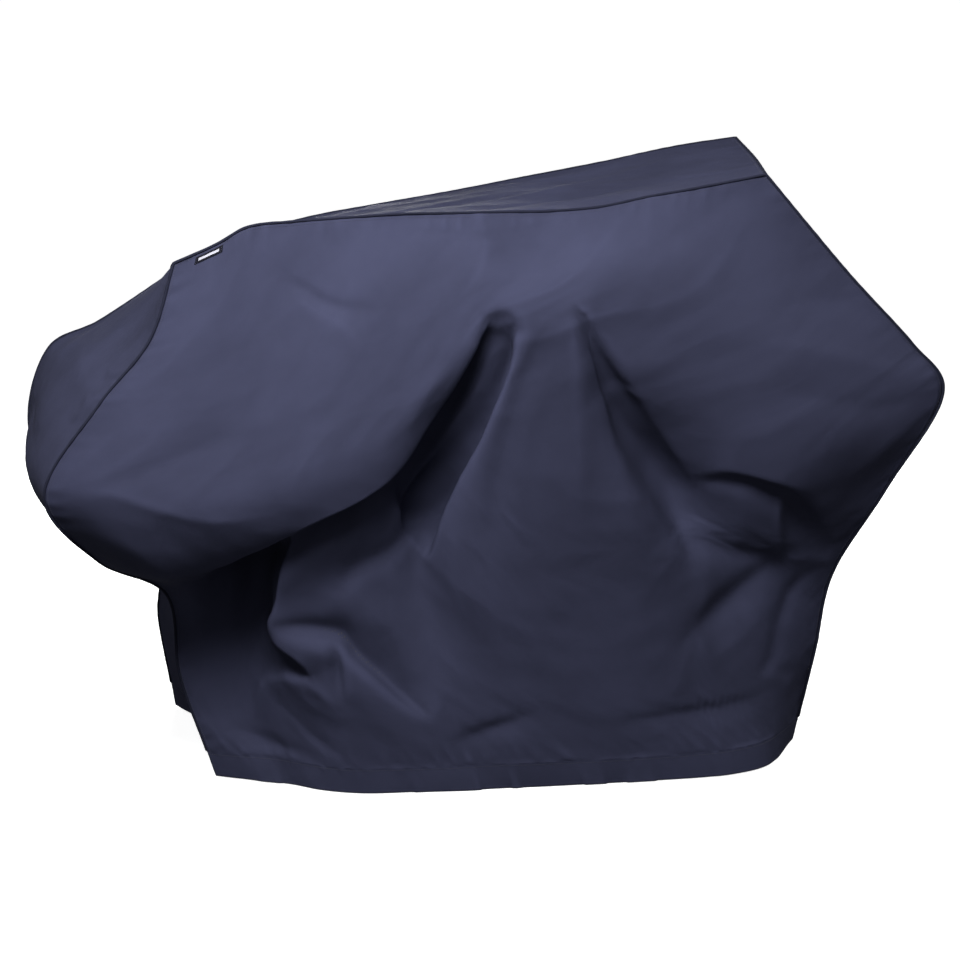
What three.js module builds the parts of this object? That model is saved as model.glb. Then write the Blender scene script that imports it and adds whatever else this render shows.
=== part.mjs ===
// A cloth cover draped over a cart grill: front and back panels joined by a gusset that runs
// up the left side, over the top and down the right side, with piping in the seams and a hem.
// Millimetres, +Z up, +X to the viewer's right, +Y to the back, origin under the middle.
import * as THREE from 'three';
import { LoftGeometry } from 'three/addons/geometries/LoftGeometry.js';

// Driving sizes
const WIDTH = 1670; // about the distance across the corners of the two side shelves
const DEPTH = 710; // about the distance from the lid handle to the back of the lid
const HEIGHT = 1142; // about the height of the top right-hand corner
const CLOTH = 2; // thickness of the coated cloth
const WELT_RADIUS = 3; // piping in the seams
const WELT_SIDES = 6;
const SEAM_GAP = WELT_RADIUS + 1.5; // from a seam line to the cut edge of the cloth
const HEM_HEIGHT = 50;
const HEM_THICKNESS = 3.5; // the cloth folded double, and its stitching
const HEM_GAP = 6.5; // from a hem's end to the seam line
const HEM_CLEARANCE = 2; // between the hem and the cloth or piping above it
const LABEL_HEIGHT = 15;
const LABEL_THICKNESS = 1.2;
const LABEL_DROP = 7; // from the seam line to the label's upper edge
const LABEL_LIFT = 0.6; // clear of the cloth

// Facets for each span of the control net
const STEPS_ACROSS = 2;
const STEPS_DOWN = 3;

// The control net. Each column runs down the cloth through eight rings: top seam, shoulder,
// slope, shelf edge, tuck, waist, skirt, bottom. x is in thousandths of half the width,
// y of half the depth and z of the height.
const FRONT_LEFT_SEAM = {
  x: [-668, -722, -830, -950, -846, -703, -680, -606],
  y: [-685, -725, -755, -770, -600, -375, -310, -290],
  z: [868, 755, 660, 520, 402, 322, 180, 0],
};
const FRONT_RIGHT_SEAM = {
  x: [585, 775, 917, 990, 885, 795, 775, 745],
  y: [-685, -725, -755, -770, -655, -460, -375, -250],
  z: [985, 825, 715, 645, 470, 310, 175, 0],
};
const BACK_RIGHT_SEAM = {
  x: [685, 805, 920, 970, 890, 785, 760, 725],
  y: [725, 765, 795, 810, 725, 555, 555, 585],
  z: [1003, 830, 715, 630, 465, 315, 175, 0],
};
const BACK_LEFT_SEAM = {
  x: [-655, -830, -945, -995, -872, -716, -714, -680],
  y: [725, 765, 765, 670, 610, 670, 800, 885],
  z: [790, 707, 665, 520, 395, 305, 175, 0],
};
const RIGHT_MIDDLE = {
  x: [645, 820, 940, 985, 890, 760, 700, 675],
  y: [20, 20, 20, 20, 20, 20, 75, 190],
  z: [990, 830, 715, 640, 475, 325, 175, 0],
};
const LEFT_MIDDLE = {
  x: [-665, -775, -905, -997, -878, -655, -605, -570],
  y: [20, 20, 20, -35, 20, 75, 190, 245],
  z: [830, 740, 660, 515, 400, 325, 175, 0],
};
const FRONT = [
  FRONT_LEFT_SEAM,
  {
    x: [-580, -625, -700, -805, -735, -655, -625, -530],
    y: [-685, -785, -870, -925, -800, -430, -305, -385],
    z: [895, 770, 640, 515, 398, 328, 125, 0],
  },
  {
    x: [-515, -515, -565, -620, -600, -575, -550, -445],
    y: [-685, -795, -910, -980, -845, -430, -335, -480],
    z: [920, 765, 620, 505, 420, 365, 125, 0],
  },
  {
    x: [-420, -425, -455, -500, -500, -485, -500, -380],
    y: [-685, -815, -930, -990, -865, -400, -420, -590],
    z: [927, 778, 628, 520, 452, 415, 190, 0],
  },
  {
    x: [-320, -330, -350, -390, -405, -462, -420, -290],
    y: [-685, -835, -942, -990, -910, -650, -620, -672],
    z: [931, 795, 650, 552, 490, 335, 195, 0],
  },
  {
    x: [-195, -195, -210, -260, -262, -330, -300, -140],
    y: [-685, -855, -940, -960, -890, -720, -725, -700],
    z: [935, 812, 685, 590, 535, 375, 185, 0],
  },
  {
    x: [-110, -100, -95, -165, -190, -235, -200, -60],
    y: [-685, -885, -950, -870, -740, -690, -715, -716],
    z: [935, 828, 745, 640, 545, 395, 190, 0],
  },
  {
    x: [-50, -30, -15, -90, -135, -160, -115, 15],
    y: [-685, -910, -955, -720, -590, -640, -705, -718],
    z: [935, 840, 780, 635, 520, 390, 195, 0],
  },
  {
    x: [40, 30, 30, 5, -45, -90, 0, 100],
    y: [-685, -920, -985, -900, -820, -780, -745, -728],
    z: [935, 842, 785, 640, 515, 385, 180, 0],
  },
  {
    x: [110, 105, 100, 90, 70, 60, 120, 200],
    y: [-685, -925, -997, -925, -865, -820, -758, -734],
    z: [935, 845, 786, 625, 465, 325, 155, 0],
  },
  {
    x: [225, 195, 170, 235, 285, 305, 330, 335],
    y: [-685, -925, -995, -910, -850, -800, -755, -738],
    z: [940, 855, 785, 615, 455, 320, 145, 0],
  },
  {
    x: [335, 290, 225, 340, 440, 470, 450, 480],
    y: [-685, -912, -955, -780, -650, -665, -705, -735],
    z: [955, 850, 730, 590, 445, 375, 155, 0],
  },
  {
    x: [400, 420, 450, 515, 555, 550, 515, 550],
    y: [-685, -870, -925, -880, -720, -610, -660, -715],
    z: [962, 838, 712, 565, 430, 355, 155, 0],
  },
  {
    x: [465, 520, 630, 650, 670, 640, 590, 640],
    y: [-685, -825, -910, -910, -685, -570, -600, -620],
    z: [970, 825, 685, 545, 410, 335, 155, 0],
  },
  FRONT_RIGHT_SEAM,
];
const RIGHT_SIDE = [FRONT_RIGHT_SEAM, RIGHT_MIDDLE, BACK_RIGHT_SEAM];
const BACK = [
  BACK_RIGHT_SEAM,
  {
    x: [540, 600, 680, 760, 700, 640, 630, 600],
    y: [725, 835, 905, 930, 840, 640, 720, 760],
    z: [989, 825, 705, 600, 440, 310, 175, 0],
  },
  {
    x: [355, 375, 400, 435, 435, 440, 445, 430],
    y: [725, 865, 950, 990, 870, 690, 690, 665],
    z: [963, 815, 690, 570, 415, 300, 160, 0],
  },
  {
    x: [180, 185, 190, 200, 215, 230, 250, 255],
    y: [725, 870, 955, 995, 940, 840, 885, 895],
    z: [941, 805, 682, 555, 412, 300, 160, 0],
  },
  {
    x: [0, 0, -5, -10, -5, 0, 10, 15],
    y: [725, 870, 955, 995, 930, 820, 790, 770],
    z: [918, 790, 670, 542, 408, 300, 160, 0],
  },
  {
    x: [-185, -200, -225, -235, -215, -205, -190, -185],
    y: [725, 868, 950, 990, 905, 820, 880, 905],
    z: [897, 772, 655, 535, 405, 300, 165, 0],
  },
  {
    x: [-340, -375, -415, -450, -415, -370, -355, -330],
    y: [725, 850, 930, 970, 850, 720, 715, 710],
    z: [878, 756, 648, 525, 400, 300, 165, 0],
  },
  {
    x: [-500, -585, -665, -745, -680, -560, -540, -500],
    y: [725, 820, 880, 915, 800, 760, 845, 880],
    z: [846, 736, 645, 515, 395, 300, 165, 0],
  },
  BACK_LEFT_SEAM,
];
const LEFT_SIDE = [BACK_LEFT_SEAM, LEFT_MIDDLE, FRONT_LEFT_SEAM];

// Across the top, halfway back, from the left side to the right side.
const TOP_MIDDLE = {
  x: [-665, -460, -185, 90, 350, 645],
  y: [20, 20, 20, 20, 20, 20],
  z: [830, 875, 910, 930, 955, 990],
};

function pointsOf({ x, y, z }) {
  return x.map(
    (value, i) =>
      new THREE.Vector3((value * WIDTH) / 2000, (y[i] * DEPTH) / 2000, (z[i] * HEIGHT) / 1000),
  );
}

function sample(points, count) {
  const curve = new THREE.CatmullRomCurve3(points);
  return Array.from({ length: count + 1 }, (_, i) => curve.getPoint(i / count));
}

// A grid of points, grid[across][down], through columns that all have the same rings.
function loft(columns, across, down) {
  const rings = columns[0].map((_, ring) => sample(columns.map((column) => column[ring]), across));
  return Array.from({ length: across + 1 }, (_, i) => sample(rings.map((ring) => ring[i]), down));
}

// A wall of the cover: the grid of its cloth down to the hem, and the grid of the hem below it.
function wall(net, across) {
  const columns = net.map(pointsOf);
  const bottoms = columns.map((column) => column.at(-1));
  const hemTops = columns.map((column) => {
    const skirt = column.at(-2);
    return column.at(-1).clone().lerp(skirt, HEM_HEIGHT / skirt.z);
  });
  const aboveHem = columns.map((column, i) => [...column.slice(0, -1), hemTops[i]]);
  const down = STEPS_DOWN * (columns[0].length - 1);
  const cloth = loft(aboveHem, across, down);
  const hemTopLine = shorten(cloth.map((column) => column.at(-1)), HEM_GAP);
  const bottomLine = shorten(sample(bottoms, across), HEM_GAP);
  const hem = hemTopLine.map((point, i) => [point, bottomLine[i]]);
  return { cloth, hem };
}

function towards(from, to, distance) {
  return to.clone().sub(from).setLength(distance).add(from);
}

// A line with both ends drawn back along it.
function shorten(line, distance) {
  return [
    towards(line[0], line[1], distance),
    ...line.slice(1, -1),
    towards(line.at(-1), line.at(-2), distance),
  ];
}

// Unit directions at a point of a grid whose columns run from left to right as seen from
// outside: down its column, across to the next column, and out of the cloth.
function directionsAt(grid, i, j) {
  const lastColumn = grid.length - 1;
  const lastRow = grid[i].length - 1;
  const down = grid[i][Math.min(j + 1, lastRow)].clone().sub(grid[i][Math.max(j - 1, 0)]);
  const across = grid[Math.min(i + 1, lastColumn)][j].clone().sub(grid[Math.max(i - 1, 0)][j]);
  const normal = down.clone().cross(across).normalize();
  return { down: down.normalize(), across: across.normalize(), normal };
}

// The grid with its borders pulled in square to themselves, along the cloth.
function pullIn(grid, { sides, top, bottom }) {
  const lastColumn = grid.length - 1;
  const lastRow = grid[0].length - 1;
  return grid.map((column, i) =>
    column.map((point, j) => {
      const { down, across, normal } = directionsAt(grid, i, j);
      const rightwards = normal.clone().cross(down);
      const downwards = across.clone().cross(normal);
      const moved = point.clone();
      if (i === 0) moved.addScaledVector(rightwards, sides);
      if (i === lastColumn) moved.addScaledVector(rightwards, -sides);
      if (j === 0) moved.addScaledVector(downwards, top);
      if (j === lastRow) moved.addScaledVector(downwards, -bottom);
      return moved;
    }),
  );
}

function offset(grid, distance, level = false) {
  return grid.map((column, i) =>
    column.map((point, j) => {
      const { normal } = directionsAt(grid, i, j);
      if (level) normal.setZ(0).normalize();
      return point.clone().addScaledVector(normal, distance);
    }),
  );
}

// A closed solid between an outer grid and the same grid moved inwards.
function shell(outer, thickness, level = false) {
  const inner = offset(outer, -thickness, level);
  const across = outer.length - 1;
  const down = outer[0].length - 1;
  const size = (across + 1) * (down + 1);
  const index = (i, j) => i * (down + 1) + j;
  const faces = [];
  for (let i = 0; i < across; i++) {
    for (let j = 0; j < down; j++) {
      const [a, b, c, d] = [index(i, j), index(i, j + 1), index(i + 1, j + 1), index(i + 1, j)];
      faces.push(a, b, c, a, c, d);
      faces.push(a + size, c + size, b + size, a + size, d + size, c + size);
    }
  }
  const border = [];
  for (let j = 0; j < down; j++) border.push(index(0, j));
  for (let i = 0; i < across; i++) border.push(index(i, down));
  for (let j = down; j > 0; j--) border.push(index(across, j));
  for (let i = across; i > 0; i--) border.push(index(i, 0));
  border.forEach((from, k) => {
    const to = border[(k + 1) % border.length];
    faces.push(to, from, from + size, to, from + size, to + size);
  });
  const geometry = new THREE.BufferGeometry().setFromPoints([...outer.flat(), ...inner.flat()]);
  geometry.setIndex(faces);
  geometry.computeVertexNormals();
  return geometry;
}

// Round piping along a line; `reference` is a direction the line never runs in.
function welt(line, reference) {
  const sections = line.map((point, i) => {
    const after = line[Math.min(i + 1, line.length - 1)];
    const before = line[Math.max(i - 1, 0)];
    const along = after.clone().sub(before).normalize();
    const side = reference.clone().cross(along).normalize();
    const up = along.clone().cross(side);
    return Array.from({ length: WELT_SIDES }, (_, k) => {
      const angle = (2 * Math.PI * k) / WELT_SIDES;
      return point
        .clone()
        .addScaledVector(side, WELT_RADIUS * Math.cos(angle))
        .addScaledVector(up, WELT_RADIUS * Math.sin(angle));
    });
  });
  return new LoftGeometry(sections, { capStart: true, capEnd: true });
}

const acrossLong = STEPS_ACROSS * (FRONT.length - 1);
const acrossShort = STEPS_ACROSS * (RIGHT_SIDE.length - 1);
const walls = {
  front: wall(FRONT, acrossLong),
  right: wall(RIGHT_SIDE, acrossShort),
  back: wall(BACK, acrossLong),
  left: wall(LEFT_SIDE, acrossShort),
};

// The top runs back to front, so that its columns read from left to right as seen from above.
const frontTopLine = walls.front.cloth.map((column) => column[0]);
const backTopLine = walls.back.cloth.map((column) => column[0]).reverse();
const topMiddleLine = sample(pointsOf(TOP_MIDDLE), acrossLong);
const top = topMiddleLine.map((point, i) =>
  sample([backTopLine[i], point, frontTopLine[i]], acrossShort),
);

const frontSeam = [
  ...[...walls.front.cloth[0]].reverse(),
  ...frontTopLine.slice(1, -1),
  ...walls.front.cloth.at(-1),
];
const backSeam = [
  ...[...walls.back.cloth[0]].reverse(),
  ...walls.back.cloth.slice(1, -1).map((column) => column[0]),
  ...walls.back.cloth.at(-1),
];

// The label lies on the front panel, beside the top left-hand corner.
const labelCloth = walls.front.cloth.slice(1, 4).map(([upper, lower]) => [
  towards(upper, lower, LABEL_DROP),
  towards(upper, lower, LABEL_DROP + LABEL_HEIGHT),
]);
const labelFace = offset(labelCloth, LABEL_LIFT + LABEL_THICKNESS);

const cloth = new THREE.MeshStandardMaterial({ color: 0x23253a, roughness: 0.8 });
const piping = new THREE.MeshStandardMaterial({ color: 0x151724, roughness: 0.8 });
const hemming = new THREE.MeshStandardMaterial({ color: 0x1d1f31, roughness: 0.8 });
const woven = new THREE.MeshStandardMaterial({ color: 0x08080c, roughness: 0.7 });

const cover = new THREE.Group();
cover.name = 'grill_cover';

function add(name, geometry, material) {
  const mesh = new THREE.Mesh(geometry, material.clone());
  mesh.name = name;
  cover.add(mesh);
}

const wallBorders = { sides: SEAM_GAP, top: SEAM_GAP, bottom: HEM_CLEARANCE };
const panelNames = {
  front: 'front_panel',
  right: 'right_gusset',
  back: 'back_panel',
  left: 'left_gusset',
};
for (const [side, { cloth: grid, hem }] of Object.entries(walls)) {
  add(panelNames[side], shell(pullIn(grid, wallBorders), CLOTH), cloth);
  add(`${side}_hem`, shell(hem, HEM_THICKNESS, true), hemming);
}
add('top_gusset', shell(pullIn(top, { sides: SEAM_GAP, top: SEAM_GAP, bottom: SEAM_GAP }), CLOTH), cloth);

const alongY = new THREE.Vector3(0, 1, 0);
const alongZ = new THREE.Vector3(0, 0, 1);
add('front_welt', welt(shorten(frontSeam, HEM_CLEARANCE), alongY), piping);
add('back_welt', welt(shorten(backSeam, HEM_CLEARANCE), alongY), piping);
add('left_cross_seam', welt(shorten(top[0], SEAM_GAP), alongZ), piping);
add('right_cross_seam', welt(shorten(top.at(-1), SEAM_GAP), alongZ), piping);
add('label', shell(labelFace, LABEL_THICKNESS), woven);

// Bring the bottom centre of the finished box exactly to the origin.
const box = new THREE.Box3().setFromObject(cover);
const middle = box.getCenter(new THREE.Vector3());
cover.children.forEach((mesh) => mesh.position.set(-middle.x, -middle.y, -box.min.z));

export default cover;
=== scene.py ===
"""A cloth cover draped over a cart grill, on its CAD frame.

The cover is five sewn panels. Each is lofted through the same control net as its CAD solid,
and the folds of the drape are then pressed into it.
"""
import math

import bpy
import numpy as np
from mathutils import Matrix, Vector


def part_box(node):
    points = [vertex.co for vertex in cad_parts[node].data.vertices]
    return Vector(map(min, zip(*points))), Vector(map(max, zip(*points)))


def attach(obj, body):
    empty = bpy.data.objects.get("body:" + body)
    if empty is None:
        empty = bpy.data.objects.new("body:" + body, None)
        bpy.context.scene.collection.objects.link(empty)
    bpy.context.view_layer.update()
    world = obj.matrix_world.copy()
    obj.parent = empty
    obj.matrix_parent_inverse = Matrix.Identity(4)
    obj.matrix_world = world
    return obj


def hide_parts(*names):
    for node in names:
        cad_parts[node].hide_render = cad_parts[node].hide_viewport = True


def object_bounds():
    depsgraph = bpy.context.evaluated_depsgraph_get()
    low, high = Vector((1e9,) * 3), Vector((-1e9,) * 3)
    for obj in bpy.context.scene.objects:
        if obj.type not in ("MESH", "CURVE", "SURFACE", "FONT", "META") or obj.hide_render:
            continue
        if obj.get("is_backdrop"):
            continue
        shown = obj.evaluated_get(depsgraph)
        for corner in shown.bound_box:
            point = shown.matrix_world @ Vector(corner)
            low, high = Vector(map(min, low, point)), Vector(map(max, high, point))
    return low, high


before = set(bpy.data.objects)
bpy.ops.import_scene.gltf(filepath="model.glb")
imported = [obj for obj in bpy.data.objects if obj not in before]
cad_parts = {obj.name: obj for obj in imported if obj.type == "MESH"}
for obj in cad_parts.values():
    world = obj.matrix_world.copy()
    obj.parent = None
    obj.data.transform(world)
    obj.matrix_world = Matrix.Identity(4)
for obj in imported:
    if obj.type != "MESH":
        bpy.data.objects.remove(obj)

CAD_LOW, CAD_HIGH = (np.array(corner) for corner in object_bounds())
# The finished box is a little smaller or larger than the driving sizes that its net is in.
BOX_SHARE = np.array([0.9963, 0.9972, 1.0050])
WIDTH, DEPTH, HEIGHT = (CAD_HIGH - CAD_LOW) / BOX_SHARE
HEM_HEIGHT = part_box("front_hem")[1][2]
UNIT = np.array([WIDTH / 2000, DEPTH / 2000, HEIGHT / 1000])

# Quads along each panel
ACROSS_LONG = 294
ACROSS_SHORT = 90
DOWN = 203
HEM_ROWS = 8

# Sizes in metres of the sewn details
CLOTH = 0.0008
WELT_RADIUS = 0.003
WELT_STEP = 0.004
STITCH_PITCH = 0.0042
STITCH_RADIUS = 0.0005
STITCH_INSET = 0.007
HEM_STITCH_DROP = 0.1 * HEM_HEIGHT
LABEL_LENGTH = 0.046
LABEL_HEIGHT = 0.012
LABEL_DROP = 0.008
LABEL_FACE = 0.0016
LABEL_BACK = 0.0006
LABEL_COLUMNS = 24
LABEL_ROWS = 10

# The relief of cloth that has been folded away, in metres
CREASE_HEIGHT = 0.0010
CREASE_SPACING = 0.32
RIPPLE_HEIGHT = 0.0003
RIPPLE_SPACING = 0.07
PUCKER_HEIGHT = 0.0005
PUCKER_SPACING = 0.022
PUCKER_REACH = 0.012
FLAT_AT_SEAM = 0.006

# How folds are pressed in: the steps between two points of a path, how many times its spread a
# fold reaches, and in metres how near cloth is to a path drawn over it, how soft the change from
# one side of a path to the other is, and how far from the seams the folds are whole
PATH_STEPS = 12
FOLD_REACH = 3.5
NEAR_PATH = 0.012
SIDE_BLEND = 0.003
FOLDS_WHOLE = 0.03

# The radius in metres of a bend that is sharp enough to be painted paler: a painted highlight on the ridges
# of the folds, partly wear
BEND_RADIUS = 0.02


# ---------------------------------------------------------------- control net

# Each column runs down the cloth through eight rings: top seam, shoulder, slope, shelf edge,
# tuck, waist, skirt, bottom. x is in thousandths of half the width, y of half the depth and
# z of the height.
def column(x, y, z):
    return np.stack([x, y, z], axis=1) * UNIT


FRONT_LEFT_SEAM = column(
    x=[-668, -722, -830, -950, -846, -703, -680, -606],
    y=[-685, -725, -755, -770, -600, -375, -310, -290],
    z=[868, 755, 660, 520, 402, 322, 180, 0],
)
FRONT_RIGHT_SEAM = column(
    x=[585, 775, 917, 990, 885, 795, 775, 745],
    y=[-685, -725, -755, -770, -655, -460, -375, -250],
    z=[985, 825, 715, 645, 470, 310, 175, 0],
)
BACK_RIGHT_SEAM = column(
    x=[685, 805, 920, 970, 890, 785, 760, 725],
    y=[725, 765, 795, 810, 725, 555, 555, 585],
    z=[1003, 830, 715, 630, 465, 315, 175, 0],
)
BACK_LEFT_SEAM = column(
    x=[-655, -830, -945, -995, -872, -716, -714, -680],
    y=[725, 765, 765, 670, 610, 670, 800, 885],
    z=[790, 707, 665, 520, 395, 305, 175, 0],
)
RIGHT_MIDDLE = column(
    x=[645, 820, 940, 985, 890, 760, 700, 675],
    y=[20, 20, 20, 20, 20, 20, 75, 190],
    z=[990, 830, 715, 640, 475, 325, 175, 0],
)
LEFT_MIDDLE = column(
    x=[-665, -775, -905, -997, -878, -655, -605, -570],
    y=[20, 20, 20, -35, 20, 75, 190, 245],
    z=[830, 740, 660, 515, 400, 325, 175, 0],
)
FRONT = [
    FRONT_LEFT_SEAM,
    column(
        x=[-580, -625, -700, -805, -735, -655, -625, -530],
        y=[-685, -785, -870, -925, -800, -430, -305, -385],
        z=[895, 770, 640, 515, 398, 328, 125, 0],
    ),
    column(
        x=[-515, -515, -565, -620, -600, -575, -550, -445],
        y=[-685, -795, -910, -980, -845, -430, -335, -480],
        z=[920, 765, 620, 505, 420, 365, 125, 0],
    ),
    column(
        x=[-420, -425, -455, -500, -500, -485, -500, -380],
        y=[-685, -815, -930, -990, -865, -400, -420, -590],
        z=[927, 778, 628, 520, 452, 415, 190, 0],
    ),
    column(
        x=[-320, -330, -350, -390, -405, -462, -420, -290],
        y=[-685, -835, -942, -990, -910, -650, -620, -672],
        z=[931, 795, 650, 552, 490, 335, 195, 0],
    ),
    column(
        x=[-195, -195, -210, -260, -262, -330, -300, -140],
        y=[-685, -855, -940, -960, -890, -720, -725, -700],
        z=[935, 812, 685, 590, 535, 375, 185, 0],
    ),
    column(
        x=[-110, -100, -95, -165, -190, -235, -200, -60],
        y=[-685, -885, -950, -870, -740, -690, -715, -716],
        z=[935, 828, 745, 640, 545, 395, 190, 0],
    ),
    column(
        x=[-50, -30, -15, -90, -135, -160, -115, 15],
        y=[-685, -910, -955, -720, -590, -640, -705, -718],
        z=[935, 840, 780, 635, 520, 390, 195, 0],
    ),
    column(
        x=[40, 30, 30, 5, -45, -90, 0, 100],
        y=[-685, -920, -985, -900, -820, -780, -745, -728],
        z=[935, 842, 785, 640, 515, 385, 180, 0],
    ),
    column(
        x=[110, 105, 100, 90, 70, 60, 120, 200],
        y=[-685, -925, -997, -925, -865, -820, -758, -734],
        z=[935, 845, 786, 625, 465, 325, 155, 0],
    ),
    column(
        x=[225, 195, 170, 235, 285, 305, 330, 335],
        y=[-685, -925, -995, -910, -850, -800, -755, -738],
        z=[940, 855, 785, 615, 455, 320, 145, 0],
    ),
    column(
        x=[335, 290, 225, 340, 440, 470, 450, 480],
        y=[-685, -912, -955, -780, -650, -665, -705, -735],
        z=[955, 850, 730, 590, 445, 375, 155, 0],
    ),
    column(
        x=[400, 420, 450, 515, 555, 550, 515, 550],
        y=[-685, -870, -925, -880, -720, -610, -660, -715],
        z=[962, 838, 712, 565, 430, 355, 155, 0],
    ),
    column(
        x=[465, 520, 630, 650, 670, 640, 590, 640],
        y=[-685, -825, -910, -910, -685, -570, -600, -620],
        z=[970, 825, 685, 545, 410, 335, 155, 0],
    ),
    FRONT_RIGHT_SEAM,
]
RIGHT_SIDE = [FRONT_RIGHT_SEAM, RIGHT_MIDDLE, BACK_RIGHT_SEAM]
BACK = [
    BACK_RIGHT_SEAM,
    column(
        x=[540, 600, 680, 760, 700, 640, 630, 600],
        y=[725, 835, 905, 930, 840, 640, 720, 760],
        z=[989, 825, 705, 600, 440, 310, 175, 0],
    ),
    column(
        x=[355, 375, 400, 435, 435, 440, 445, 430],
        y=[725, 865, 950, 990, 870, 690, 690, 665],
        z=[963, 815, 690, 570, 415, 300, 160, 0],
    ),
    column(
        x=[180, 185, 190, 200, 215, 230, 250, 255],
        y=[725, 870, 955, 995, 940, 840, 885, 895],
        z=[941, 805, 682, 555, 412, 300, 160, 0],
    ),
    column(
        x=[0, 0, -5, -10, -5, 0, 10, 15],
        y=[725, 870, 955, 995, 930, 820, 790, 770],
        z=[918, 790, 670, 542, 408, 300, 160, 0],
    ),
    column(
        x=[-185, -200, -225, -235, -215, -205, -190, -185],
        y=[725, 868, 950, 990, 905, 820, 880, 905],
        z=[897, 772, 655, 535, 405, 300, 165, 0],
    ),
    column(
        x=[-340, -375, -415, -450, -415, -370, -355, -330],
        y=[725, 850, 930, 970, 850, 720, 715, 710],
        z=[878, 756, 648, 525, 400, 300, 165, 0],
    ),
    column(
        x=[-500, -585, -665, -745, -680, -560, -540, -500],
        y=[725, 820, 880, 915, 800, 760, 845, 880],
        z=[846, 736, 645, 515, 395, 300, 165, 0],
    ),
    BACK_LEFT_SEAM,
]
LEFT_SIDE = [BACK_LEFT_SEAM, LEFT_MIDDLE, FRONT_LEFT_SEAM]
TOP_MIDDLE = column(
    x=[-665, -460, -185, 90, 350, 645],
    y=[20, 20, 20, 20, 20, 20],
    z=[830, 875, 910, 930, 955, 990],
)

# Each side view: the two axes that it is drawn on, and the direction that faces out of it.
SIDES = dict(
    front=([0, 2], np.array([0.0, -1.0, 0.0])),
    back=([0, 2], np.array([0.0, 1.0, 0.0])),
    left=([1, 2], np.array([-1.0, 0.0, 0.0])),
    right=([1, 2], np.array([1.0, 0.0, 0.0])),
    top=([0, 1], np.array([0.0, 0.0, 1.0])),
)


# The folds of a side. A path is in thousandths of half the width or half the depth, and of the
# height. depth, above and below are in millimetres: how far the fold stands out, or sinks in where
# it is negative, and how far it spreads to the left and to the right of its path, as it is walked
# and seen from outside. Each is one number, or one for each point of the path.
def fold(path, depth, above, below, crest=2.0, slide=0.0):
    return dict(path=path, depth=depth, above=above, below=below, crest=crest, slide=slide)


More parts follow.
